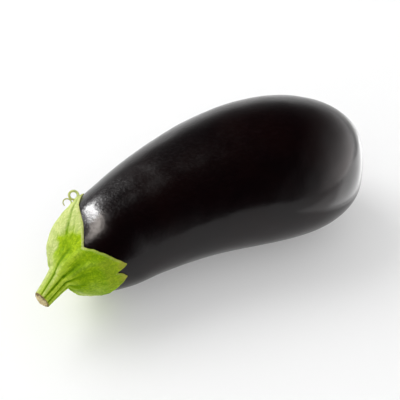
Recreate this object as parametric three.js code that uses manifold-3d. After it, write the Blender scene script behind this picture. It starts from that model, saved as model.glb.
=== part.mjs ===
// An eggplant as picked, lying on its side: the fruit, the green calyx that hugs its neck and the cut stem.
// Millimetres, +Z up. +X runs along the fruit to its blossom end, and the origin is at the middle of the
// bounding box's base, on the surface that the fruit rests on.
import * as THREE from "three";
import { mergeVertices } from "three/addons/utils/BufferGeometryUtils.js";
import Module from "manifold-3d";

// Fruit: a round body whose centre line bends level with the table and climbs a little from the neck.
const FRUIT_LENGTH = 192.4; // along the centre line
const HEADINGS = [26, 10.6, -7.5, -28.7]; // of the centre line in plan, degrees from +X, neck to blossom end
const RISE = 4; // degrees that the centre line climbs
const GIRTH = [23.6, 30.6, 41.4, 49.9, 42.1]; // control radii of the taper, neck to blossom end
const NECK = { share: 0.205, power: 2.22, root: 2.98 }; // the rounded shoulder under the calyx
const TIP = { share: 0.52, power: 3.03, root: 2.94 }; // the blunt blossom end
const TIP_LEAN = { side: 3, drop: 1.5 }; // how far it leans to the inside of the bend and down
const REST_DEPTH = 1.4; // how much the small resting spot flattens the belly

// Calyx: a fleshy cap of joined sepals. Angles turn round the neck, from its near side over the top.
const PIECE_GAP = 0.3; // between pieces that touch
const CALYX_THICK = 2.2; // round the stem
const CALYX_EDGE = 1.1; // at the sepals' edges
const SEAT = { above: 5, radius: 8.2, height: 3, blend: 6 }; // the flat that the stem stands on
// [angle, distance from the neck's pole along the skin] at the sepals' tips and the notches between them.
const SEPAL_OUTLINE = [
  [-44, 24.5],
  [-20, 28.5],
  [-7, 32.5],
  [4, 37.5],
  [12, 34.6],
  [16, 31.5],
  [21, 39.6],
  [36, 34.5],
  [73, 25],
  [94, 34.3],
  [122, 42],
  [148, 52],
  [160, 43],
  [180, 36.5],
  [212, 27],
  [240, 43],
  [266, 26],
  [290, 39],
  [313, 26],
];
const BULGE = { at: 160, half: 70, reach: 26.5, height: 2.1 }; // the puffed back of the upper sepal

// Curls: the upper sepal's tip has dried into a ring and a thin open hook.
const CURLS = [
  { angle: 145, reach: 45.5, loop: 2.5, thick: 0.75, turns: 1.05 },
  { angle: 152, reach: 41.5, loop: 2.3, thick: 0.5, turns: 0.75 },
];

// Stem: a ribbed stalk that flares into the calyx and ends in a flat cut.
const STEM_LENGTH = 17;
const STEM_RADIUS = 4.8; // at the cut
const STEM_TAPER = 2.2;
const STEM_FLARE = 0.8;
const STEM_RIBS = 7;
const RIB_DEPTH = 0.06; // as a share of the radius
const STEM_SWAY = { side: 3.2, drop: -0.3 }; // how far the cut end bends off the neck's axis

const Z = new THREE.Vector3(0, 0, 1);
const { clamp, degToRad, euclideanModulo, lerp, radToDeg, smoothstep } = THREE.MathUtils;

// The value at t of the Bezier curve with these control values.
function bezier(values, t) {
  if (values.length === 1) return values[0];
  return bezier(
    values.slice(1).map((value, i) => lerp(values[i], value, t)),
    t,
  );
}

// Radius of the fruit at a share u of its centre line.
function fruitRadius(u) {
  const neck = Math.max(0, 1 - u / NECK.share);
  const tip = tipShare(u);
  const shoulder = Math.pow(1 - neck ** NECK.power, 1 / NECK.root);
  return bezier(GIRTH, u) * shoulder * Math.pow(1 - tip ** TIP.power, 1 / TIP.root);
}

// How far u has gone into the blossom end, from 0 to 1.
function tipShare(u) {
  return clamp((u - 1 + TIP.share) / TIP.share, 0, 1);
}

// Direction of the centre line at u, and the two directions across it.
function sectionAxes(u) {
  const heading = degToRad(bezier(HEADINGS, clamp(u, 0, 1)));
  const rise = degToRad(RISE);
  const along = new THREE.Vector3(
    Math.cos(heading) * Math.cos(rise),
    Math.sin(heading) * Math.cos(rise),
    Math.sin(rise),
  );
  const side = new THREE.Vector3().crossVectors(along, Z).normalize();
  return { along, side, up: new THREE.Vector3().crossVectors(side, along) };
}

// Points along the centre line, evenly spaced.
const CENTRE_STEPS = 240;
const centreLine = [new THREE.Vector3()];
for (let i = 0; i < CENTRE_STEPS; i++) {
  const { along } = sectionAxes((i + 0.5) / CENTRE_STEPS);
  const next = centreLine[i].clone().addScaledVector(along, FRUIT_LENGTH / CENTRE_STEPS);
  centreLine.push(next);
}

// Centre of the section at u.
function centre(u) {
  const place = clamp(u, 0, 1) * CENTRE_STEPS;
  const i = Math.min(Math.floor(place), CENTRE_STEPS - 1);
  const { side, up } = sectionAxes(u);
  const lean = tipShare(u) ** 2;
  return new THREE.Vector3()
    .lerpVectors(centreLine[i], centreLine[i + 1], place - i)
    .addScaledVector(side, TIP_LEAN.side * lean)
    .addScaledVector(up, -TIP_LEAN.drop * lean);
}

// Direction out from the centre line at u, at an angle from the side over the top.
function outward(u, angle) {
  const { side, up } = sectionAxes(u);
  return side.multiplyScalar(Math.cos(angle)).addScaledVector(up, Math.sin(angle));
}

// Point at a height over the skin, at a share u of the centre line and an angle round it.
const SLOPE_STEP = 1e-4;
function overSkin(u, angle, height) {
  const drop = fruitRadius(u + SLOPE_STEP) - fruitRadius(u);
  const run = FRUIT_LENGTH * SLOPE_STEP;
  const slant = Math.hypot(drop, run);
  return centre(u)
    .addScaledVector(outward(u, angle), fruitRadius(u) + (height * run) / slant)
    .addScaledVector(sectionAxes(u).along, (-height * drop) / slant);
}

// Share u of the centre line at a distance from the neck's pole, measured along the skin.
const SKIN_STEPS = 600;
const skinWalk = [{ u: 0, distance: 0 }];
for (let i = 1; i <= SKIN_STEPS; i++) {
  const last = skinWalk[i - 1];
  const u = 0.5 * (i / SKIN_STEPS) ** 3;
  const step = Math.hypot(FRUIT_LENGTH * (u - last.u), fruitRadius(u) - fruitRadius(last.u));
  skinWalk.push({ u, distance: last.distance + step });
}
function shareAt(distance) {
  const i = skinWalk.findIndex((step) => step.distance > distance);
  const [a, b] = [skinWalk[i - 1], skinWalk[i]];
  return lerp(a.u, b.u, (distance - a.distance) / (b.distance - a.distance));
}

// A lathe turning whose vertices are moved to where place(turn, radius, height) says.
function turned(profile, sides, place) {
  const geometry = new THREE.LatheGeometry(profile, sides);
  const position = geometry.getAttribute("position");
  for (let i = 0; i < position.count; i++) {
    const [x, y, z] = [position.getX(i), position.getY(i), position.getZ(i)];
    const radius = Math.hypot(x, z);
    const turn = radius > 0 ? Math.atan2(z, x) : 0;
    position.setXYZ(i, ...place(turn, radius, y).toArray());
  }
  return geometry;
}

const wasm = await Module();
wasm.setup();

// A closed geometry as a solid that can be cut and joined, and back.
function toSolid(geometry) {
  geometry.deleteAttribute("normal");
  geometry.deleteAttribute("uv");
  const merged = mergeVertices(geometry, 1e-3);
  const corners = merged.index.array;
  const kept = [];
  for (let i = 0; i < corners.length; i += 3) {
    const [a, b, c] = corners.slice(i, i + 3);
    if (a !== b && b !== c && c !== a) kept.push(a, b, c);
  }
  return new wasm.Manifold(
    new wasm.Mesh({
      numProp: 3,
      vertProperties: merged.getAttribute("position").array,
      triVerts: new Uint32Array(kept),
    }),
  );
}
function toGeometry(solid) {
  const { vertProperties, triVerts } = solid.getMesh();
  return new THREE.BufferGeometry()
    .setAttribute("position", new THREE.BufferAttribute(vertProperties, 3))
    .setIndex(new THREE.BufferAttribute(triVerts, 1));
}

// The fruit: a lathe turning along the straight centre line, then bent with it and flattened underneath.
const FRUIT_RINGS = 40;
const FRUIT_SIDES = 64;
function makeFruit() {
  const profile = [];
  for (let i = 0; i <= FRUIT_RINGS; i++) {
    const u = 0.5 - 0.5 * Math.cos((Math.PI * i) / FRUIT_RINGS);
    profile.push(new THREE.Vector2(i % FRUIT_RINGS === 0 ? 0 : fruitRadius(u), u));
  }
  const body = turned(profile, FRUIT_SIDES, (turn, radius, u) =>
    centre(u).addScaledVector(outward(u, turn), radius),
  );
  body.computeBoundingBox();
  const restHeight = body.boundingBox.min.z + REST_DEPTH;
  const below = new THREE.BoxGeometry(2 * FRUIT_LENGTH, 2 * FRUIT_LENGTH, FRUIT_LENGTH);
  below.translate(0, 0, restHeight - FRUIT_LENGTH / 2);
  return { geometry: toGeometry(toSolid(body).subtract(toSolid(below))), restHeight };
}

// Distance from the neck's pole to the calyx's edge at an angle in degrees.
function calyxReach(degrees) {
  const first = SEPAL_OUTLINE[0];
  const wrapped = euclideanModulo(degrees - first[0], 360) + first[0];
  const round = [...SEPAL_OUTLINE, [first[0] + 360, first[1]]];
  const i = round.findIndex(([angle]) => angle > wrapped);
  const [from, to] = [round[i - 1], round[i]];
  return lerp(from[1], to[1], (wrapped - from[0]) / (to[0] - from[0]));
}

// How far the calyx stands off the skin at an angle in degrees and a distance from the pole.
function calyxBulge(degrees, distance) {
  const off = Math.abs(euclideanModulo(degrees - BULGE.at + 180, 360) - 180);
  const round = 1 - smoothstep(off, 0, BULGE.half);
  const along = Math.sin(Math.PI * Math.min(1, distance / (2 * BULGE.reach)));
  return BULGE.height * round * along ** 2;
}

// The calyx: a thin closed disc turned on the lathe, then laid over the neck with its rim cut into sepals.
const CALYX_RINGS = 9;
const CALYX_SIDES = 90;
function makeCalyx() {
  const blank = [];
  for (let i = 0; i <= CALYX_RINGS; i++) blank.push(new THREE.Vector2(i / CALYX_RINGS, 1));
  for (let i = CALYX_RINGS; i >= 0; i--) blank.push(new THREE.Vector2(i / CALYX_RINGS, 0));
  const { along } = sectionAxes(0);
  const cap = turned(blank, CALYX_SIDES, (turn, share, layer) => {
    const degrees = radToDeg(turn);
    const distance = share * calyxReach(degrees);
    const inner = PIECE_GAP + calyxBulge(degrees, distance);
    const height = inner + layer * lerp(CALYX_THICK, CALYX_EDGE, share);
    const over = overSkin(shareAt(distance), turn, height);
    if (layer < 1) return over;
    const seat = centre(0)
      .addScaledVector(along, -SEAT.height)
      .addScaledVector(outward(0, turn), distance);
    const off = Math.hypot(distance * Math.cos(turn), distance * Math.sin(turn) - SEAT.above);
    return seat.lerp(over, smoothstep(off, SEAT.radius, SEAT.radius + SEAT.blend));
  });
  return toGeometry(CURLS.reduce((body, curl) => body.add(toSolid(makeCurl(curl))), toSolid(cap)));
}

// One curl: a tendril that runs on from the sepal's tip and rolls up away from the skin.
const CURL_STEPS = 22;
function makeCurl({ angle, reach, loop, thick, turns }) {
  const round = degToRad(angle);
  const root = overSkin(shareAt(reach), round, PIECE_GAP + CALYX_EDGE / 2 + calyxBulge(angle, reach));
  const ahead = overSkin(shareAt(reach + 1), round, 0).sub(overSkin(shareAt(reach), round, 0)).normalize();
  const away = overSkin(shareAt(reach), round, 1).sub(overSkin(shareAt(reach), round, 0)).normalize();
  const points = [root.clone().addScaledVector(ahead, -loop)];
  for (let i = 0; i <= CURL_STEPS; i++) {
    const turn = (2 * Math.PI * turns * i) / CURL_STEPS;
    const point = root.clone().addScaledVector(ahead, loop * (0.6 + Math.sin(turn)));
    points.push(point.addScaledVector(away, loop * (1.15 - Math.cos(turn))));
  }
  const section = new THREE.Shape().absarc(0, 0, thick, 0, 2 * Math.PI);
  return new THREE.ExtrudeGeometry(section, {
    steps: 2 * CURL_STEPS,
    curveSegments: 4,
    extrudePath: new THREE.CatmullRomCurve3(points),
  });
}

// The stem: a lathe turning with ribs pressed into it, set on the calyx and swayed towards its cut end.
const STEM_RINGS = 10;
const STEM_SIDES = 56;
function makeStem() {
  const profile = [new THREE.Vector2(0, 0)];
  for (let i = 0; i <= STEM_RINGS; i++) {
    const rest = 1 - i / STEM_RINGS;
    const radius = STEM_RADIUS + STEM_TAPER * rest + STEM_FLARE * rest ** 4;
    profile.push(new THREE.Vector2(radius, i / STEM_RINGS));
  }
  profile.push(new THREE.Vector2(0, 1));
  profile.reverse();
  const { along, side, up } = sectionAxes(0);
  const foot = centre(0)
    .addScaledVector(along, -SEAT.height - PIECE_GAP)
    .addScaledVector(up, SEAT.above);
  return turned(profile, STEM_SIDES, (turn, radius, share) =>
    foot
      .clone()
      .addScaledVector(outward(0, turn), radius * (1 + RIB_DEPTH * Math.cos(STEM_RIBS * turn)))
      .addScaledVector(along, -STEM_LENGTH * share)
      .addScaledVector(side, STEM_SWAY.side * share)
      .addScaledVector(up, -STEM_SWAY.drop * share),
  );
}

const skin = new THREE.MeshStandardMaterial({ color: 0x150a0e, roughness: 0.2, metalness: 0 });
const sepalGreen = new THREE.MeshStandardMaterial({ color: 0xa5c938, roughness: 0.6, metalness: 0 });
const stemGreen = new THREE.MeshStandardMaterial({ color: 0x9abf35, roughness: 0.6, metalness: 0 });

const { geometry: fruitGeometry, restHeight } = makeFruit();
const eggplant = new THREE.Group();
const pieces = [
  ["fruit", fruitGeometry, skin],
  ["calyx", makeCalyx(), sepalGreen],
  ["stem", makeStem(), stemGreen],
];
for (const [name, geometry, material] of pieces) {
  const mesh = new THREE.Mesh(geometry, material);
  mesh.name = name;
  eggplant.add(mesh);
}
const box = new THREE.Box3().setFromObject(eggplant);
const middle = box.getCenter(new THREE.Vector3());
eggplant.position.set(-middle.x, -middle.y, -restHeight);

export default eggplant;
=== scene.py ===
from bisect import bisect_right
from math import atan2, cos, degrees, exp, hypot, pi, radians, sin, tau

import bmesh
import bpy
from mathutils import Matrix, Vector, noise


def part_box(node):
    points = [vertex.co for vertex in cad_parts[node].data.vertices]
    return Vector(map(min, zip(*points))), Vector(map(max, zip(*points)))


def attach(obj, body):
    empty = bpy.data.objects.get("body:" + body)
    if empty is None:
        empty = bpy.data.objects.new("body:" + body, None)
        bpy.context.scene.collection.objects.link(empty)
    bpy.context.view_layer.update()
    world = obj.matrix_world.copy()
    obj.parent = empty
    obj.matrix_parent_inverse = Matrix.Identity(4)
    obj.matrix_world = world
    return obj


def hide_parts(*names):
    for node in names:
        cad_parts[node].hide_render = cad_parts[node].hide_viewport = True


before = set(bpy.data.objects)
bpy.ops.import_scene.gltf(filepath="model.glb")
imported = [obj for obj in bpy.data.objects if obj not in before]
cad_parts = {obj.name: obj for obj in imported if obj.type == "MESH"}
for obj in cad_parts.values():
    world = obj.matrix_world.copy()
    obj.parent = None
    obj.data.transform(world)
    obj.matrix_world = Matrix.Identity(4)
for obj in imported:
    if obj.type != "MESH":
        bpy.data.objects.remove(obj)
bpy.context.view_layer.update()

# ---------------------------------------------------------------------------------------------------------
# The fruit: one berry that grew hanging and lies on its side, under a thin, tight, wax-coated skin that is
# almost black. It is turned as a straight blank, bent along its centre line and flattened where it rests.
MM = 0.001
FRUIT_LENGTH = 192.4 * MM
HEADINGS = [26, 10.6, -7.5, -28.7]  # of the centre line in plan, degrees from +X
RISE = radians(4)
GIRTH = [23.6 * MM, 30.6 * MM, 41.4 * MM, 49.9 * MM, 42.1 * MM]
NECK_SHARE, NECK_POWER, NECK_ROOT = 0.205, 2.22, 2.98
TIP_SHARE, TIP_POWER, TIP_ROOT = 0.52, 3.03, 2.94
TIP_SIDE, TIP_DROP = 3 * MM, 1.5 * MM
UP = Vector((0, 0, 1))


def bezier(values, t):
    """The value at t of the curve with these control values."""
    while len(values) > 1:
        values = [a + (b - a) * t for a, b in zip(values, values[1:])]
    return values[0]


def clamp(value, low=0.0, high=1.0):
    return min(high, max(low, value))


def smooth(value, low, high):
    """0 below low, 1 above high, and a smooth step between them."""
    t = clamp((value - low) / (high - low))
    return t * t * (3 - 2 * t)


def hill(value, width):
    """1 where the value is 0, and next to nothing beyond twice the width."""
    return exp(-((value / width) ** 2))


def tip_share(u):
    return clamp((u - 1 + TIP_SHARE) / TIP_SHARE)


def fruit_radius(u):
    """Radius of the fruit at a share u of its centre line."""
    neck = clamp(1 - u / NECK_SHARE)
    shoulder = (1 - neck**NECK_POWER) ** (1 / NECK_ROOT)
    return bezier(GIRTH, u) * shoulder * (1 - tip_share(u) ** TIP_POWER) ** (1 / TIP_ROOT)


def section_axes(u):
    """Along the centre line at u, across it to the near side, and across it upwards."""
    heading = radians(bezier(HEADINGS, clamp(u)))
    along = Vector((cos(heading) * cos(RISE), sin(heading) * cos(RISE), sin(RISE)))
    side = along.cross(UP).normalized()
    return along, side, side.cross(along)


CENTRE_STEPS = 960
centre_line = [Vector()]
for step in range(CENTRE_STEPS):
    along = section_axes((step + 0.5) / CENTRE_STEPS)[0]
    centre_line.append(centre_line[-1] + along * (FRUIT_LENGTH / CENTRE_STEPS))


def centre(u):
    """Centre of the fruit's section at u."""
    place = clamp(u) * CENTRE_STEPS
    step = min(int(place), CENTRE_STEPS - 1)
    along, side, up = section_axes(u)
    lean = tip_share(u) ** 2
    on_line = centre_line[step].lerp(centre_line[step + 1], place - step)
    return on_line + lean * (TIP_SIDE * side - TIP_DROP * up)


def over_skin(u, angle, height):
    """Point at a height over the skin, at an angle from the near side over the top."""
    step = 1e-4
    drop = fruit_radius(u + step) - fruit_radius(u)
    run = FRUIT_LENGTH * step
    slant = hypot(drop, run)
    along, side, up = section_axes(u)
    out = side * cos(angle) + up * sin(angle)
    return centre(u) + out * (fruit_radius(u) + height * run / slant) - along * (height * drop / slant)


def turned(profile, sides):
    """A profile of (radius, height) turned round the Z axis, with the straight place kept on each vertex."""
    mesh = bmesh.new()
    end = bmesh.ops.create_vert(mesh, co=(profile[0][0], 0, profile[0][1]))["vert"][0]
    for radius, height in profile[1:]:
        end = bmesh.ops.extrude_vert_indiv(mesh, verts=[end])["verts"][0]
        end.co = (radius, 0, height)
    bmesh.ops.spin(mesh, geom=mesh.verts[:] + mesh.edges[:], cent=(0, 0, 0), axis=(0, 0, 1), dvec=(0, 0, 0),
                   angle=tau, steps=sides, use_merge=True, use_normal_flip=False, use_duplicate=False)
    bmesh.ops.remove_doubles(mesh, verts=mesh.verts[:], dist=1e-6)
    return mesh


def make_piece(mesh, name, material, node):
    """The finished mesh as an object that stands for a CAD node."""
    bmesh.ops.recalc_face_normals(mesh, faces=mesh.faces[:])
    for face in mesh.faces:
        face.smooth = True
    data = bpy.data.meshes.new(name)
    mesh.to_mesh(data)
    mesh.free()
    data.materials.append(material)
    piece = bpy.data.objects.new(name, data)
    bpy.context.scene.collection.objects.link(piece)
    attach(piece, "root")
    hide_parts(node)
    return piece


FRUIT_RINGS, FRUIT_SIDES = 200, 240
REST_ROUND = 0.35 * MM  # how softly the flat spot starts
WAVES = [(0.28, 24 * MM, Vector()), (0.09, 8 * MM, Vector((7, 3, 1)))]  # height in mm, length, noise shift
WAVES_FROM, WAVES_FULL = 4 * MM, 14 * MM  # heights over the table where the waves start and are full
SWELL_AT, SWELL_WIDTH, SWELL_HEIGHT = 29.5, 8.5, 0.42  # mm: the skin swells a little past the sepals
SCAR_RADIUS, SCAR_DIP = 3.2 * MM, 1.1 * MM  # where the flower dropped off
shares = [0.5 - 0.5 * cos(pi * ring / FRUIT_RINGS) for ring in range(FRUIT_RINGS + 1)]
profile = [(fruit_radius(u), u) for u in shares]
profile[0], profile[-1] = (0, 0), (0, 1)
fruit = turned(profile, FRUIT_SIDES)
straight = fruit.verts.layers.float_vector.new("straight")
scar = fruit.verts.layers.float.new("scar")
for vertex in fruit.verts:
    x, y, u = vertex.co
    vertex[straight] = (x / MM, y / MM, u * FRUIT_LENGTH / MM)
    along, side, up = section_axes(u)
    vertex.co = centre(u) + side * x + up * y

# The formula's frame starts at the neck's pole. The part's frame is found by matching the fruit's box,
# whose underside is the only flattened one.
low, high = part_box("fruit")
neck_pole = Vector((low.x - min(v.co.x for v in fruit.verts), low.y - min(v.co.y for v in fruit.verts),
                    high.z - max(v.co.z for v in fruit.verts)))
bmesh.ops.translate(fruit, verts=fruit.verts[:], vec=neck_pole)
tip = centre(1) + neck_pole
for vertex in fruit.verts:
    place = vertex.co.copy()
    outward = (place - centre(vertex[straight].z * MM / FRUIT_LENGTH) - neck_pole).normalized()
    wave = sum(height * noise.noise(place / length + shift) for height, length, shift in WAVES)
    swell = SWELL_HEIGHT * hill(vertex[straight].z - SWELL_AT, SWELL_WIDTH)
    place += outward * ((wave + swell) * MM * smooth(place.z, WAVES_FROM, WAVES_FULL))
    from_scar = (place - tip).length
    if from_scar < 4 * SCAR_RADIUS:
        place -= section_axes(1)[0] * (SCAR_DIP * hill(from_scar, SCAR_RADIUS))
        vertex[scar] = 1 - smooth(from_scar, 0.75 * SCAR_RADIUS, 1.15 * SCAR_RADIUS)
    if place.z < 3 * REST_ROUND:
        place.z = 0.5 * (place.z + hypot(place.z, REST_ROUND)) - 0.5 * REST_ROUND * exp(min(0, place.z) / MM)
        place.z = max(0.0, place.z)
    vertex.co = place


class Number:
    """A number that changes over a surface. Expressions on it add Math nodes."""

    def __init__(self, finish, socket):
        self.finish, self.socket = finish, socket

    def maths(self, operation, first, second):
        return Number(self.finish, self.finish.node("Math", {"operation": operation}, {0: first, 1: second}))

    def __add__(self, other):
        return self.maths("ADD", self, other)

    def __sub__(self, other):
        return self.maths("SUBTRACT", self, other)

    def __rsub__(self, other):
        return self.maths("SUBTRACT", other, self)

    def __mul__(self, other):
        return self.maths("MULTIPLY", self, other)

    def __pow__(self, power):
        """A power of the number, and 0 where the number is below 0."""
        return self.maths("POWER", self.maths("MAXIMUM", self, 0.0), power)

    def __rpow__(self, base):
        return self.maths("POWER", base, self)

    __radd__, __rmul__ = __add__, __mul__


class Finish:
    """The nodes of one material or of the world."""

    def __init__(self, owner):
        owner.use_nodes = True
        self.owner = owner
        self.nodes, self.links = owner.node_tree.nodes, owner.node_tree.links
        self.nodes.clear()

    def node(self, kind, settings=None, sockets=None, out=0):
        """Adds a node, makes its settings, then fills its sockets, and returns one of its outputs."""
        node = self.nodes.new("ShaderNode" + kind)
        for name, value in (settings or {}).items():
            setattr(node, name, value)
        for name, value in (sockets or {}).items():
            value = value.socket if isinstance(value, Number) else value
            if isinstance(value, bpy.types.NodeSocket):
                self.links.new(value, node.inputs[name])
            elif isinstance(value, (tuple, list)) and len(value) == 3 and node.inputs[name].type == "RGBA":
                node.inputs[name].default_value = (*value, 1)
            else:
                node.inputs[name].default_value = value
        return node.outputs[out] if node.outputs else None

    def attribute(self, name):
        """A mask kept on the vertices."""
        return Number(self, self.node("Attribute", {"attribute_name": name}, out="Fac"))

    def blank_place(self, name):
        """The place on the straight or flat blank, in mm, kept on the vertices."""
        return self.node("Attribute", {"attribute_name": name}, out="Vector")

    def axis(self, vector, index):
        """One coordinate of a vector: 0 for X, 1 for Y, 2 for Z."""
        return Number(self, self.node("SeparateXYZ", {}, {0: vector}, out=index))

    def vector(self, operation, *parts):
        """Vector maths. A length or a dot product comes back as a Number."""
        out = 1 if operation in ("LENGTH", "DOT_PRODUCT") else 0
        socket = self.node("VectorMath", {"operation": operation}, dict(enumerate(parts)), out=out)
        return Number(self, socket) if out else socket

    def noise(self, vector, scale, detail, roughness, low, high, distortion=0.0):
        """Cloudy noise, stretched so that low to high becomes 0 to 1."""
        sockets = {"Vector": vector, "Scale": scale, "Detail": detail, "Roughness": roughness}
        sockets["Distortion"] = distortion
        return self.between(Number(self, self.node("TexNoise", {}, sockets)), low, high)

    def between(self, number, low, high):
        """0 below low, 1 above high, and a smooth step between them."""
        sockets = {0: number, 1: low, 2: high}
        return Number(self, self.node("MapRange", {"interpolation_type": "SMOOTHSTEP"}, sockets))

    def mix(self, first, second, share):
        """Two colours mixed by a share."""
        settings = {"data_type": "RGBA", "clamp_factor": True}
        return self.node("Mix", settings, {0: share, 6: first, 7: second}, out=2)

    def surface(self, **sockets):
        """Closes the material with one principled surface."""
        names = {name.replace("_", " "): value for name, value in sockets.items()}
        shader = self.node("BsdfPrincipled", {}, names)
        self.node("OutputMaterial", {}, {"Surface": shader})
        return self.owner


BLACK_SKIN, MAROON_SKIN = (0.0022, 0.0007, 0.0011), (0.0044, 0.0007, 0.0008)
STREAK_MAROON = (0.0075, 0.0022, 0.0032)
# grey of the specks painted on the upper neck: a painted reflection of the softbox
SHEEN_SPECK_GREY = (0.10, 0.095, 0.095)
SCAR_BROWN = (0.19, 0.105, 0.05)


def skin_finish():
    """Near-black aubergine skin: maroon where light reaches in, mottled streaks, grey specks painted on the
    upper neck as a speckled sheen, and a corky flower scar.
    """
    skin = Finish(bpy.data.materials.new("aubergine_skin"))
    place = skin.node("TexCoord", out="Object")
    straight = skin.blank_place("straight")
    streaks = skin.noise(skin.vector("MULTIPLY", straight, (0.55, 0.55, 0.035)), 1.0, 3.0, 0.55, 0.35, 0.7)
    clouds = skin.noise(place, 26, 3.0, 0.5, 0.35, 0.68)
    pores = skin.noise(place, 1500, 2.0, 0.6, 0.3, 0.7)
    mottle = skin.noise(place, 620, 3.0, 0.62, 0.42, 0.66)
    specks = skin.noise(place, 1000, 3.0, 0.7, 0.5, 0.68)
    to_near_side, upward, from_neck = (skin.axis(straight, index) for index in range(3))
    neck = 1 - skin.between(from_neck, 30.0, 75.0)
    # painted sheen: grey specks on the upper neck, on the side that faces the softbox, stand in for its
    # speckled reflection
    sheen_on_neck = (1 - skin.between(from_neck, 34.0, 62.0)) * skin.between(upward, 8.0, 24.0)
    sheen_on_neck = sheen_on_neck * (1 - skin.between(to_near_side, -6.0, 9.0))
    scar = skin.attribute("scar")
    colour = skin.mix(BLACK_SKIN, MAROON_SKIN, clouds)
    colour = skin.mix(colour, STREAK_MAROON, streaks * mottle * 0.35)
    colour = skin.mix(colour, SHEEN_SPECK_GREY, specks * sheen_on_neck * 0.42)
    colour = skin.mix(colour, SCAR_BROWN, scar * (0.75 + 0.25 * pores))
    roughness = 0.16 + 0.04 * clouds + 0.04 * mottle + 0.4 * scar
    height = mottle * (0.15 + 0.95 * neck) + 0.12 * pores + 0.25 * streaks + scar * pores * 1.5
    bump = skin.node("Bump", {}, {"Height": height, "Strength": 0.16, "Distance": 0.12 * MM})
    return skin.surface(Base_Color=colour, Roughness=roughness, Normal=bump, IOR=1.36)


fruit_piece = make_piece(fruit, "eggplant_fruit", skin_finish(), "fruit")

# ---------------------------------------------------------------------------------------------------------
# The calyx: the fleshy green cap that held the flower, a thin cup of joined sepals that hugs the neck.
# It is turned as a flat disc, cut to the sepals' outline, and laid over the neck with its folds.
GAP = 0.3 * MM
CALYX_THICK, CALYX_EDGE = 2.2 * MM, 1.0 * MM
CALYX_SIDES = 540
SEAT_ABOVE, SEAT_RADIUS, SEAT_HEIGHT, SEAT_BLEND = 5 * MM, 8.2 * MM, 3 * MM, 6 * MM
# (angle in degrees, distance in mm along the skin from the neck's pole) at the tips and notches
SEPAL_OUTLINE = [(-44, 24.5), (-20, 28.5), (-7, 32.5), (4, 37.2), (12, 34.6), (16, 31.5), (21, 39.6),
                 (36, 34.5), (73, 25), (94, 34.3), (122, 42), (147, 51.5), (160, 42.5), (180, 36), (212, 27),
                 (240, 43), (266, 26), (290, 39), (313, 26)]
SEPAL_TIPS = [(4, 38), (21, 40), (148, 52), (240, 43), (290, 39)]
BULGE_AT, BULGE_HALF, BULGE_REACH, BULGE_HEIGHT = 160, 70, 26.5 * MM, 2.1 * MM
# Grooves between the ribs that run from the stem onto the calyx: angle round the stem at the calyx and at
# the cut, depth in mm, half width in degrees
RIB_GROOVES = [(93, 84, 0.85, 5.5), (48, 55, 1.25, 5.5), (20, 17, 1.2, 5.5), (-12, -20, 0.9, 7),
               (-62, -60, 0.8, 12), (-112, -112, 0.7, 13), (-160, -160, 0.8, 12), (152, 148, 0.2, 12)]
# Ridges (+) and grooves (-): height and half width in mm, then their course in (angle, distance)
FOLDS = [
    (1.2, 2.1, [(86, 9), (79, 16), (73, 21), (70, 25)]),
    (0.8, 1.5, [(60, 7), (53, 16), (48, 22), (40, 28)]),
    (0.7, 1.3, [(5, 8), (12, 15), (16, 22)]),
    (-0.75, 1.1, [(109, 26), (114, 31), (120, 35), (130, 42), (138, 47)]),
    (-0.35, 0.8, [(96, 25), (103, 31), (114, 38)]),
    (0.3, 0.6, [(36, 24), (33, 25.6), (15, 24.8), (-3, 24.6)]),
    (0.6, 1.6, [(235, 8), (240, 24), (240, 38)]),
    (0.6, 1.6, [(300, 8), (291, 24), (290, 35)]),
    (0.6, 1.6, [(190, 9), (188, 20), (182, 34)]),
]
FOLD_END, FOLD_FADE = 0.75, 0.7  # from this share of its course on, a fold loses this much of its height
GRAIN = [(0.34, 4.0), (0.16, 1.5)]  # fine unevenness: height and length in mm
HOLLOW_AT, HOLLOW_RADIUS, HOLLOW_DEPTH = (100, 20), 7.0, 1.3  # the sunk place behind the stem
RIB_END, RIB_START = (9.0, 17.0), (7.0, 9.5)  # mm from the stem's centre, where the ribs run on and fade
RIM_SHARE, RIM_ROUND, RIM_CALM, RIM_BULGE = 0.55, 0.7, 2.5, 0.35 * MM
COLLAR_RADIUS, COLLAR_FADE = 7.5, 1.7  # mm: where the calyx climbs the stem
COLLAR_LEAST, COLLAR_MORE, COLLAR_AT, COLLAR_WIDTH = 0.8, 2.6, 45, 55
# Where the cap's colours change. Angles are in degrees round the neck's pole, distances in mm from it. A
# pair is where a change starts and ends, and four values are where a band starts, is full, fades and ends.
PATCH_CORNER = Vector((-13.1, 20.6))
PATCH_EDGES = [(Vector((-0.569, 0.822)), (-1.8, 2.2)), (Vector((-0.657, -0.754)), (-1.6, 1.6))]
CREASE_ANGLE, CREASE_TURNS, CREASE_WIDTH = 102, [(8, (20, 28)), (18, (28, 44))], 8
FLANK_START = (5, 10)
UPPER_ANGLES, UPPER_START = (70, 84), (22, 35)
PALE_FOLD_ANGLE, PALE_FOLD_WIDTH, PALE_FOLD_BAND = -42, 13, (5, 9, 18, 23)
UNDER_ANGLE, UNDER_WIDTH, UNDER_DISTANCE, UNDER_LENGTH = -12, 20, 19, 7
PALE_RIM, PALE_RIM_ANGLES = (0.5, 1.6), (66, 74)
# near sepals given a richer, darker green: partly their own tone, partly painted shade away from the lamps
LUSH_AND_SHADE_ANGLES = (-60, -40, 60, 78)
VEIN_START, VEIN_ANGLES = (24, 27), (-14, -4, 38, 46)
DRY_TIP, DRY_RIM = (1.0, 8.0), (0.2, 0.9)
STEM_LOOK = (7.5, 12.5)  # mm from the stem's centre, where the stem's look gives way to the cap's


def angle_past(angle, start):
    """How far an angle lies past another, from -180 to 180 degrees."""
    return (angle - start + 180) % 360 - 180


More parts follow.
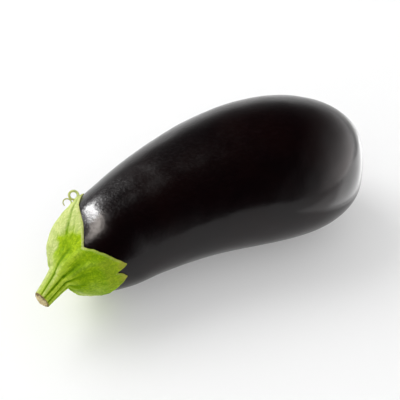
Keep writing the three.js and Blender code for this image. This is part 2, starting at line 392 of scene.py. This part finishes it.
def band(value, start, full, fade, end):
    """0 outside start and end, 1 between full and fade, with smooth steps."""
    return smooth(value, start, full) * (1 - smooth(value, fade, end))


def rib_groove(turn, share):
    """How deep the grooves between the ribs are, in mm, at an angle round the stem; share 0 is its foot."""
    deep = 0.0
    for at_foot, at_cut, depth, width in RIB_GROOVES:
        deep += depth * hill(angle_past(turn, at_foot + (at_cut - at_foot) * share), width)
    return deep


def collar_height(turn):
    """How far the calyx climbs the stem, in mm, at an angle round it: most where it runs on level."""
    return COLLAR_LEAST + COLLAR_MORE * hill(angle_past(turn, COLLAR_AT), COLLAR_WIDTH)


def rib_look(turn, share):
    """How pale, deep green and richer green the stem is at an angle round it; share 0 is its foot.
    The pale share is painted highlight on the far side and the ridges that face the lamps; deep green is
    painted shade in the grooves; the richer green is painted shade on the near side, and below 0 on the
    ridge tops it is painted highlight.
    """
    shade = clamp(rib_groove(turn, share))
    far_side, top_rib, near_side = angle_past(turn, 134), turn - 80 + 8 * share, turn + 5
    # painted highlight: the stem's far side and the rib at its top face the lamps and are made paler, and so
    # are the ridge tops
    lit_side_highlight = hill(far_side, 27) + 0.65 * hill(top_rib, 8)
    top = (1 - shade) ** 2
    # painted shade: the near side, away from the lamps, gets the richer, darker green; the ridge tops get
    # less of it, down below 0, as painted highlight
    return clamp(0.75 * lit_side_highlight + 0.2 * top), shade, 0.5 * hill(near_side, 35) - top


def flat_place(degrees_round, distance):
    """A place on the flat pattern, in mm from the neck's pole."""
    return Vector((distance * cos(radians(degrees_round)), distance * sin(radians(degrees_round))))


SKIN_STEPS = 1200
skin_walk = [(0.0, 0.0)]
for step in range(1, SKIN_STEPS + 1):
    u = 0.5 * (step / SKIN_STEPS) ** 3
    last_u, last_distance = skin_walk[-1]
    run = hypot(FRUIT_LENGTH * (u - last_u), fruit_radius(u) - fruit_radius(last_u))
    skin_walk.append((u, last_distance + run))
walk_distances = [distance for u, distance in skin_walk]


def share_at(distance):
    """Share u of the centre line at a distance from the neck's pole, measured along the skin."""
    i = clamp(bisect_right(walk_distances, distance), 1, SKIN_STEPS)
    (u_from, from_distance), (u_to, to_distance) = skin_walk[i - 1], skin_walk[i]
    return u_from + (u_to - u_from) * (distance - from_distance) / (to_distance - from_distance)


def outline_reach(degrees_round):
    """Distance in mm to the line through the outline's points."""
    first_angle, first_reach = SEPAL_OUTLINE[0]
    angle = (degrees_round - first_angle) % 360 + first_angle
    rim = SEPAL_OUTLINE + [(first_angle + 360, first_reach)]
    i = bisect_right([point[0] for point in rim], angle)
    (from_angle, from_reach), (to_angle, to_reach) = rim[i - 1], rim[i]
    return from_reach + (to_reach - from_reach) * (angle - from_angle) / (to_angle - from_angle)


def calyx_reach(degrees_round):
    """Distance in mm to the calyx's edge: the outline, a little rounded and uneven."""
    rounded = sum(outline_reach(degrees_round + offset) for offset in (-1.2, -0.6, 0, 0.6, 1.2)) / 5
    around = Vector((cos(radians(degrees_round)), sin(radians(degrees_round)), 0))
    return rounded + 0.35 * noise.noise(around * 9) + 0.15 * noise.noise(around * 31)


def calyx_bulge(degrees_round, distance):
    """How far the calyx stands off the skin."""
    off = abs(angle_past(degrees_round, BULGE_AT))
    along = sin(pi * min(1, distance / (2 * BULGE_REACH)))
    return BULGE_HEIGHT * (1 - smooth(off, 0, BULGE_HALF)) * along**2


def course_distance(place, course):
    """Distance from a flat place to a course of points, and the share along it of the nearest point."""
    best = (float("inf"), 0.0)
    for i, ((x, y), (next_x, next_y)) in enumerate(zip(course, course[1:])):
        across, up = next_x - x, next_y - y
        t = clamp(((place.x - x) * across + (place.y - y) * up) / (across * across + up * up))
        off = hypot(place.x - x - across * t, place.y - y - up * t)
        best = min(best, (off, (i + t) / (len(course) - 1)))
    return best


fold_courses = []
for height, width, course in FOLDS:
    points = [flat_place(*point) for point in course]
    middle = (points[0] + points[-1]) / 2
    spread = max((point - middle).length for point in points) + 3 * width
    fold_courses.append((height, width, [tuple(point) for point in points], middle, spread))


def calyx_relief(place):
    """Height of the folds at a flat place, and how much of it is groove and ridge, in mm."""
    relief, groove, ridge = 0.0, 0.0, 0.0
    for height, width, course, middle, spread in fold_courses:
        if (place - middle).length > spread:
            continue
        off, along_share = course_distance(place, course)
        if off < 3 * width:
            shape = hill(off, width) * (1 - smooth(along_share, FOLD_END, 1.0) * FOLD_FADE)
            relief += height * shape
            groove += max(0, -height) * shape
            ridge += max(0, height) * shape
    return relief, groove, ridge


def calyx_look(place, turn, far, edge, groove, ridge, hollow):
    """How pale, deep green, richer green and dry the cap is at a flat place.
    The pale share is partly the cap's own pale rims and folds and partly painted highlight on the far flank,
    the upper sepal and the ridges, which face the lamps; deep green is painted shade in the grooves and the
    hollow behind the stem; the richer green on the near sepals is partly their own tone, partly painted
    shade.
    """
    around = (turn + 90) % 360 - 90
    stray = 1.6 * noise.noise(Vector((place.x, place.y, 0.0)) / 2.6)
    patch = 1.0
    for way_out, (start, end) in PATCH_EDGES:
        patch *= 1 - smooth((place - PATCH_CORNER).dot(way_out) + stray, start, end)
    crease_at = CREASE_ANGLE + sum(turned_by * smooth(far, *reach) for turned_by, reach in CREASE_TURNS)
    # painted highlight: the far flank and the upper sepal, which face the lamps, are made paler
    flank = smooth(around, crease_at, crease_at + CREASE_WIDTH) * smooth(far, *FLANK_START) * (1 - patch)
    upper = smooth(around, *UPPER_ANGLES) * smooth(far, *UPPER_START) * (1 - flank) * (1 - patch)
    fold = hill(turn - PALE_FOLD_ANGLE, PALE_FOLD_WIDTH) * band(far, *PALE_FOLD_BAND)
    under = hill(turn - UNDER_ANGLE, UNDER_WIDTH) * hill(far - UNDER_DISTANCE, UNDER_LENGTH)
    rim = (0.25 + 0.7 * smooth(around, *PALE_RIM_ANGLES)) * (1 - smooth(edge, *PALE_RIM))
    # pale: the cap's own pale rims and folds, plus painted highlight on the lit flank, the upper sepal and
    # the ridges; grooves get less, as painted shade
    pale_and_highlight = 0.95 * flank + upper + 0.15 * under + 0.75 * fold + 0.08 * ridge + rim - 0.5 * groove
    tip_off = min((place - flat_place(*tip_at)).length for tip_at in SEPAL_TIPS)
    past_vein = smooth(far, *VEIN_START) * band(around, *VEIN_ANGLES)
    dried = 1.1 * (1 - smooth(tip_off, *DRY_TIP)) + 0.35 * (1 - smooth(edge, *DRY_RIM)) + 0.35 * past_vein
    # deep green: painted shade in the grooves and, less, in the hollow behind the stem
    return clamp(pale_and_highlight), clamp(groove + 0.3 * hollow), band(around, *LUSH_AND_SHADE_ANGLES), clamp(dried)


def masks(mesh, *names):
    """A new layer on the vertices for each name."""
    return [mesh.verts.layers.float.new(name) for name in names]


CALYX_RINGS = 64
profile = [(ring / CALYX_RINGS, 1.0) for ring in range(CALYX_RINGS + 1)]
profile += [(1.0, 1 - layer / 5) for layer in range(1, 5)]
profile += [(ring / CALYX_RINGS, 0.0) for ring in range(CALYX_RINGS, -1, -4)]
calyx = turned(profile, CALYX_SIDES)
flat = calyx.verts.layers.float_vector.new("flat")
pale, deep, dry, lush_and_shade = masks(calyx, "pale", "deep", "dry", "lush_and_shade")
neck_along, neck_side, neck_up = section_axes(0)
reaches = {}
for vertex in calyx.verts:
    x, y, layer = vertex.co
    share, angle = hypot(x, y), atan2(y, x) if hypot(x, y) > 1e-9 else 0.0
    turn = degrees(angle)
    spoke = round(turn * 10)
    if spoke not in reaches:
        reaches[spoke] = calyx_reach(turn)
    reach = reaches[spoke]
    far, edge = share * reach, reach * (1 - share)  # mm from the neck's pole and from the edge
    distance = far * MM
    place = flat_place(turn, far)
    relief, groove, ridge = calyx_relief(place)
    hollow = hill((place - flat_place(*HOLLOW_AT)).length, HOLLOW_RADIUS)
    from_stem = place - Vector((0, SEAT_ABOVE / MM))
    stem_off, stem_turn = from_stem.length, degrees(atan2(from_stem.y, from_stem.x))
    rib = rib_groove(stem_turn, 0)
    outer_rib = rib * smooth(stem_off, *RIB_START) * (1 - smooth(stem_off, *RIB_END))
    # the grooves of the ribs that run on from the stem are painted deep green as shade too
    groove += outer_rib
    grain = Vector((place.x, place.y, 0.0))
    relief += sum(height * noise.noise(grain / length) for height, length in GRAIN)
    relief -= HOLLOW_DEPTH * hollow + outer_rib
    thick = CALYX_THICK + (CALYX_EDGE - CALYX_THICK) * share
    height = GAP + calyx_bulge(turn, distance)
    if 0 < layer < 1:
        height += layer * thick * RIM_SHARE
        distance += RIM_BULGE * sin(pi * layer)
    else:
        rounding = 1 - (1 - clamp(edge / RIM_ROUND)) ** 2
        thick *= RIM_SHARE + (1 - RIM_SHARE) * rounding
        height += layer * (thick + relief * MM * smooth(edge, 0.0, RIM_CALM))
    over = over_skin(share_at(distance), angle, height)
    if layer >= 1:
        collar = collar_height(stem_turn) * exp(-max(0, stem_off + rib - COLLAR_RADIUS) / COLLAR_FADE)
        lift = SEAT_HEIGHT + (collar + 0.8 * relief) * MM
        seat = centre(0) - neck_along * lift + (neck_side * cos(angle) + neck_up * sin(angle)) * distance
        over = seat.lerp(over, smooth(stem_off * MM, SEAT_RADIUS, SEAT_RADIUS + SEAT_BLEND))
    vertex.co = over + neck_pole
    vertex[flat] = (place.x, place.y, layer)
    *cap_look, vertex[dry] = calyx_look(place, turn, far, edge, groove, ridge, hollow)
    near = 1 - smooth(stem_off, *STEM_LOOK)
    looks = zip(cap_look, rib_look(stem_turn, 0))
    vertex[pale], vertex[deep], vertex[lush_and_shade] = (on_cap + (on_rib - on_cap) * near for on_cap, on_rib in looks)

# The upper sepal's tip has dried into a ring and a thin open hook, each a tapered strand rolled up.
CURLS = [  # angle, distance in mm, loop radius, thickness at the root and at the end, turns, green share
    (144.5, 45.7, 2.5, 1.15, 0.6, 1.05, 0.35),
    (151.5, 42.0, 2.3, 0.6, 0.3, 0.75, 0.0),
]
CURL_SIDES, CURL_STEPS = 14, 72
CURL_ROOT = 0.1  # share of the strand that runs straight, from inside the sepal
CURL_AHEAD, CURL_OVER = 0.6, 1.15  # the loop's centre past the root and over the skin, in loop radii


def curl_point(t, curl):
    """A point on the strand's centre line, and the direction away from the skin."""
    angle, reach, loop, turns = curl[0], curl[1], curl[2] * MM, curl[5]
    around = radians(angle)
    root = over_skin(share_at(reach * MM), around, GAP + CALYX_EDGE / 2 + calyx_bulge(angle, reach * MM))
    base = over_skin(share_at(reach * MM), around, 0)
    ahead = (over_skin(share_at((reach + 1) * MM), around, 0) - base).normalized()
    away = (over_skin(share_at(reach * MM), around, MM) - base).normalized()
    turn = tau * turns * max(0, t)
    start = root + ahead * (loop * (CURL_AHEAD + sin(turn))) + away * (loop * (CURL_OVER - cos(turn)))
    return start + ahead * (loop * min(0, t) / CURL_ROOT), ahead, away


for curl in CURLS:
    angle, reach, loop, thick, thin, turns, green_share = curl
    profile = [(0, 0)] + [(1, step / CURL_STEPS) for step in range(CURL_STEPS + 1)] + [(0, 1)]
    strand = turned(profile, CURL_SIDES)
    strand_pale, _, strand_dry, strand_lush_and_shade = masks(strand, "pale", "deep", "dry", "lush_and_shade")
    strand_flat = strand.verts.layers.float_vector.new("flat")
    for vertex in strand.verts:
        x, y, z = vertex.co
        t = z * (1 + CURL_ROOT) - CURL_ROOT
        here, ahead, away = curl_point(t, curl)
        forward = (curl_point(t + 0.01, curl)[0] - here).normalized()
        across = ahead.cross(away).normalized()
        out = forward.cross(across)
        wobble = 1 + 0.15 * noise.noise(Vector((t * 9, angle, x)))
        width = (thick + (thin - thick) * z) * MM * wobble
        vertex.co = here + (across * x * 1.15 + out * y * 0.8) * width + neck_pole
        vertex[strand_flat] = (x * 1.5, reach + 12 * t, 1)
        # the curls are pale and, below 0 on the richer-green mask, brighter: partly their own dried colour,
        # partly painted highlight on strands that turn away from the lamps
        vertex[strand_pale], vertex[strand_lush_and_shade] = 1.2, -1.0
        vertex[strand_dry] = clamp(1.4 * t - green_share)
    strand_data = bpy.data.meshes.new("strand")
    strand.to_mesh(strand_data)
    strand.free()
    calyx.from_mesh(strand_data)
    bpy.data.meshes.remove(strand_data)


GREEN = (0.31, 0.51, 0.002)
BRIGHT_GREEN = (0.52, 0.70, 0.012)
# richer, darker green: partly the near sepals' own tone, partly painted shade
LUSH_AND_SHADE_GREEN = (0.17, 0.32, 0.0005)
PALE_GREEN = (0.72, 0.78, 0.31)
# deep green, painted into grooves and hollows as shade
DEEP_GREEN = (0.10, 0.24, 0.0005)
DRY_TAN = (0.36, 0.34, 0.05)
FIBRE_ROUND, FIBRE_ALONG = (9, 9, 9), 0.06  # how fine the fibres are round the stem, and along it per mm
GREEN_SHINE = 0.04


def green_finish(name, pattern, centre_at):
    """Green flesh with fibres that run out from the stem, pale edges and dry tan tips, with painted light:
    paler ribs and lit sides as painted highlight, darker grooves and a richer green away from the lamps as
    painted shade.
    """
    green = Finish(bpy.data.materials.new(name))
    place = green.node("TexCoord", out="Object")
    laid = green.vector("SUBTRACT", green.blank_place(pattern), centre_at)
    level = green.vector("MULTIPLY", laid, (1, 1, 0))
    heading = green.vector("NORMALIZE", level)
    run = (green.vector("LENGTH", level) + green.axis(laid, 2)) * FIBRE_ALONG
    lift = green.node("CombineXYZ", {}, {2: run})
    rays = green.vector("ADD", green.vector("MULTIPLY", heading, FIBRE_ROUND), lift)
    fibres = green.noise(rays, 1.6, 4.0, 0.62, 0.34, 0.68)
    fine = green.noise(rays, 5.5, 2.0, 0.6, 0.35, 0.68)
    clouds = green.noise(place, 210, 3.0, 0.55, 0.36, 0.68)
    flecks = green.noise(place, 1100, 2.0, 0.6, 0.52, 0.72)
    wrinkles = green.noise(place, 430, 3.0, 0.6, 0.4, 0.64, distortion=1.2)
    pale, deep, dry, lush_and_shade = (green.attribute(mask) for mask in ("pale", "deep", "dry", "lush_and_shade"))
    # where the richer-green mask is below 0, on the stem's ridge tops and the curls, more bright green is
    # painted as highlight
    bright = fibres * (0.7 - 0.5 * lush_and_shade) + flecks * 0.3 + wrinkles * (0.4 - 0.15 * lush_and_shade)
    # richer, darker green on the near side: painted shade, partly the sepals' own tone
    colour = green.mix(GREEN, LUSH_AND_SHADE_GREEN, lush_and_shade * 0.85 + clouds * 0.4)
    colour = green.mix(colour, BRIGHT_GREEN, bright)
    # pale: the cap's own pale rims and folds, and painted highlight on lit flanks, sides and ridges
    colour = green.mix(colour, PALE_GREEN, pale * (0.6 + 0.3 * fine + 0.3 * wrinkles))
    # deep green: painted shade in the grooves and the hollow, with random wrinkles
    colour = green.mix(colour, DEEP_GREEN, deep * (0.6 + 0.3 * clouds) + (1 - wrinkles) * 0.17)
    colour = green.mix(colour, DRY_TAN, dry * (0.55 + 0.3 * fibres))
    relief = 0.5 * fibres + 0.3 * fine + 0.5 * clouds + 0.15 * flecks + 0.7 * wrinkles
    bump = green.node("Bump", {}, {"Height": relief, "Strength": 0.7, "Distance": 0.4 * MM})
    return green, colour, bump, clouds, place


green, colour, bump, clouds, place = green_finish("calyx_green", "flat", (0, SEAT_ABOVE / MM, 0))
calyx_finish = green.surface(Base_Color=colour, Roughness=0.5 + 0.12 * clouds, Normal=bump,
                             Specular_IOR_Level=GREEN_SHINE)
calyx_piece = make_piece(calyx, "eggplant_calyx", calyx_finish, "calyx")

# ---------------------------------------------------------------------------------------------------------
# The stem: the stalk that the fruit hung from, a stubby green flare with long ribs that run on into the
# calyx. It was cut across with a knife, and its end has dried to a pale tan pith inside a brown rim.
STEM_LENGTH = 17 * MM
STEM_RADIUS, STEM_TAPER, STEM_FLARE = 5.0 * MM, 2.1 * MM, 0.8 * MM
STEM_SUNK = 0.8 * MM
STEM_SIDE, STEM_DROP = 3.2 * MM, -0.3 * MM
STEM_SIDES = 224
STEM_WAVE, STEM_WAVE_LENGTH = 0.10 * MM, 6 * MM
WALL_RINGS, WALL_CROWDING = 60, 1.25
CUT_DOME, CUT_ROUGH = 1.6 * MM, 0.5 * MM
CUT_TAN, CUT_BROWN, RIM_BROWN = (0.92, 0.80, 0.46), (0.45, 0.28, 0.08), (0.12, 0.065, 0.018)
RIM_INNER, RIM_OUTER, RIM_RAGGED = 4.1, 5.1, 1.3  # mm from the stem's centre, on the cut


def stem_radius(height):
    """Radius of the stem at a height over its foot: a taper with a flare at the foot."""
    rest = clamp(1 - height / STEM_LENGTH)
    return STEM_RADIUS + STEM_TAPER * rest + STEM_FLARE * rest**4


profile = [(0, -STEM_SUNK)]
profile += [(stem_radius(-STEM_SUNK) * share, -STEM_SUNK) for share in (0.4, 0.8)]
wall_height = STEM_LENGTH + STEM_SUNK - 0.25 * MM
wall = [wall_height * (ring / WALL_RINGS) ** WALL_CROWDING - STEM_SUNK for ring in range(WALL_RINGS + 1)]
profile += [(stem_radius(height), height) for height in wall]
profile += [(STEM_RADIUS - 0.10 * MM, STEM_LENGTH - 0.08 * MM), (STEM_RADIUS - 0.28 * MM, STEM_LENGTH)]
profile += [(STEM_RADIUS * share, STEM_LENGTH) for share in (0.88, 0.8, 0.7, 0.6, 0.5, 0.4, 0.3, 0.2, 0.1, 0)]
stem = turned(profile, STEM_SIDES)
straight = stem.verts.layers.float_vector.new("straight")
pale, deep, dry, lush_and_shade, cut = masks(stem, "pale", "deep", "dry", "lush_and_shade", "cut")
foot = centre(0) - neck_along * (SEAT_HEIGHT + GAP) + neck_up * SEAT_ABOVE + neck_pole
for vertex in stem.verts:
    x, y, height = vertex.co
    radius, angle = hypot(x, y), atan2(y, x) if hypot(x, y) > 1e-9 else 0.0
    share = clamp(height / STEM_LENGTH)
    groove = rib_groove(degrees(angle), share)
    out = smooth(radius, 0.45 * STEM_RADIUS, 0.9 * STEM_RADIUS)
    radius_now = radius - groove * MM * (1 - 0.5 * share) * out
    wave_at = Vector((cos(angle) * 4, sin(angle) * 4, height / STEM_WAVE_LENGTH))
    radius_now += out * STEM_WAVE * noise.noise(wave_at)
    on_cut = height > STEM_LENGTH - 0.2 * MM and radius < STEM_RADIUS
    rise = height
    if on_cut:
        inside = clamp(1 - (radius / STEM_RADIUS) ** 2)
        rough = noise.noise(Vector((x, y, 0)) / (1.3 * MM))
        rough += 0.5 * noise.noise(Vector((x, y, 1)) / (0.5 * MM))
        rise += CUT_DOME * inside + CUT_ROUGH * rough * smooth(inside, 0.0, 0.3)
    vertex[straight] = (x / MM, y / MM, height / MM)
    vertex.co = (foot + (neck_side * cos(angle) + neck_up * sin(angle)) * radius_now - neck_along * rise
                 + (neck_side * STEM_SIDE - neck_up * STEM_DROP) * share)
    vertex[pale], vertex[deep], vertex[lush_and_shade] = rib_look(degrees(angle), share)
    vertex[dry] = smooth(share, 0.93, 1.0)
    vertex[cut] = 1.0 if on_cut else 0.0

green, colour, bump, clouds, place = green_finish("stem_green", "straight", (0, 0, 0))
on_face = green.attribute("cut")
pith = green.noise(place, 1300, 3.0, 0.6, 0.4, 0.65)
ragged = green.noise(place, 620, 3.0, 0.6, 0.3, 0.7)
from_axis = green.vector("LENGTH", green.vector("MULTIPLY", green.blank_place("straight"), (1, 1, 0)))
rim = green.between(from_axis + ragged * RIM_RAGGED, RIM_INNER, RIM_OUTER)
cut_colour = green.mix(CUT_TAN, CUT_BROWN, pith * 0.55)
cut_colour = green.mix(cut_colour, RIM_BROWN, rim * (0.65 + 0.35 * clouds))
colour = green.mix(colour, cut_colour, on_face)
stem_finish = green.surface(Base_Color=colour, Roughness=0.5 + 0.3 * on_face, Normal=bump,
                            Specular_IOR_Level=GREEN_SHINE)
stem_piece = make_piece(stem, "eggplant_stem", stem_finish, "stem")

# ---------------------------------------------------------------------------------------------------------
# The studio: a wide pale floor, a long softbox behind the neck and a weaker lamp above it, two faint walls
# beside them, and three cards that lie on the table past the blossom end. One more lamp and the room's own
# light reach the matt surfaces only. Glossy ones mirror a pale haze behind and a glow past the blossom end.
FLOOR_RADIUS, FLOOR_SHIFT = 2.4, (0, 2.0, 0)
PAPER_GREY, PAPER_GLOW = (0.76, 0.76, 0.76), 0.2
floor_mesh = bmesh.new()
bmesh.ops.create_circle(floor_mesh, cap_ends=True, segments=96, radius=FLOOR_RADIUS)
bmesh.ops.translate(floor_mesh, verts=floor_mesh.verts[:], vec=FLOOR_SHIFT)
floor_data = bpy.data.meshes.new("studio_floor")
floor_mesh.to_mesh(floor_data)
floor_mesh.free()
paper = Finish(bpy.data.materials.new("pale_paper"))
paper_finish = paper.surface(Base_Color=PAPER_GREY, Roughness=0.9, Specular_IOR_Level=0.0,
                             Emission_Color=(1.0, 1.0, 1.0), Emission_Strength=PAPER_GLOW)
floor_data.materials.append(paper_finish)
floor = bpy.data.objects.new("studio_floor", floor_data)
bpy.context.scene.collection.objects.link(floor)

world = bpy.data.worlds.new("studio")
bpy.context.scene.world = world
air = Finish(world)
GLOW_WAY, GLOW_POWER, GLOW = (0.9, -0.36, -0.26), 3.7, 5.0
HAZE_BASE, HAZE_FADE, HAZE = 0.36788, 5.0, 1.15  # 1/e: the haze is thinner the higher the way points
ROOM_LIGHT = 0.75
way = air.node("TexCoord", out="Generated")
seen, matt = (Number(air, air.node("LightPath", out=name)) for name in ("Is Camera Ray", "Is Diffuse Ray"))
behind = air.between(air.axis(way, 1), 0.0, 0.6)
haze = HAZE_BASE ** (air.axis(way, 2) * HAZE_FADE)
glow = air.vector("DOT_PRODUCT", way, GLOW_WAY) ** GLOW_POWER
mirrored = (1 - seen) * (1 - matt)
strength = seen + ROOM_LIGHT * matt + mirrored * (HAZE * behind * haze + GLOW * glow)
tint = air.mix((1.0, 1.0, 1.0), (1.0, 0.94, 0.93), mirrored * glow)
background = air.node("Background", {}, {"Color": tint, "Strength": strength})
air.node("OutputWorld", {}, {"Surface": background})


def direction(azimuth, elevation):
    """The way from the middle out, with azimuth 0 towards the near side."""
    a, e = radians(azimuth), radians(elevation)
    return Vector((sin(a) * cos(e), -cos(a) * cos(e), sin(e)))


def softbox(name, target, azimuth, elevation, distance, size, radiance, colour=(1, 1, 1), gloss=True,
            tall=UP):
    """A rectangular area light of that brightness, facing its target, for glossy or for matt surfaces."""
    light = bpy.data.lights.new(name, "AREA")
    light.shape = "RECTANGLE"
    light.size, light.size_y = size
    light.energy = radiance * pi * size[0] * size[1]
    light.color = colour
    lamp = bpy.data.objects.new(name, light)
    back = direction(azimuth, elevation)
    across = tall.cross(back).normalized()
    turn = Matrix((across, back.cross(across), back)).transposed().to_4x4()
    lamp.matrix_world = Matrix.Translation(target + back * distance) @ turn
    lamp.visible_camera, lamp.visible_glossy, lamp.visible_diffuse = False, gloss, not gloss
    bpy.context.scene.collection.objects.link(lamp)


neck_top = neck_pole + Vector((0.018, 0.004, 0.028))
softbox("key_softbox", neck_top, -149, 39, 1.2, (0.15, 0.84), 60, tall=Vector((-0.11, -0.5, 0.47)))
softbox("neck_lamp", neck_top, -101, 61, 1.0, (0.6, 0.2), 17.5, (1.0, 0.92, 0.86))
softbox("key_wall", neck_top, -163, 33, 1.2, (0.13, 0.75), 2.3, tall=Vector((0, -0.5, 0.87)))
softbox("top_wall", neck_top, -119, 75, 1.2, (0.18, 0.36), 1.6, tall=Vector((0, -0.99, 0.14)))
below_end = Vector((0.1, 0, 0))
CARDS = [  # name, azimuth and distance from below the blossom end, height, width and length, brightness
    ("table_card", 58, 0.22, 0.004, (0.16, 0.36), 1.9),
    ("table_glow", 58, 0.28, 0.003, (0.28, 0.5), 0.9),
    ("table_far", 72, 0.78, 0.005, (0.7, 0.72), 2.8),
]
for name, azimuth, out, height, size, radiance in CARDS:
    way = direction(azimuth, 0)
    softbox(name, below_end + UP * height + way * out, 0, -90, 0.002, size, radiance, tall=way)
softbox("soft_key", neck_top, -150, 48, 1.5, (1.0, 1.0), 3.8, gloss=False)

# The camera stands above the near side and looks down at the fruit from 48 degrees.
camera_data = bpy.data.cameras.new("camera")
camera_data.lens = 80
camera_data.sensor_width = 36
camera_data.shift_x, camera_data.shift_y = -0.0313, 0.0072
camera = bpy.data.objects.new("camera", camera_data)
bpy.context.scene.collection.objects.link(camera)
camera_place = neck_pole + Vector((-51.911, -298.473, 384.895)) * MM
view_back = direction(-25, 48)
camera_turn = view_back.to_track_quat("Z", "Y").to_matrix().to_4x4()
camera.matrix_world = Matrix.Translation(camera_place) @ camera_turn
bpy.context.scene.camera = camera
bpy.context.scene.view_settings.view_transform = "Standard"
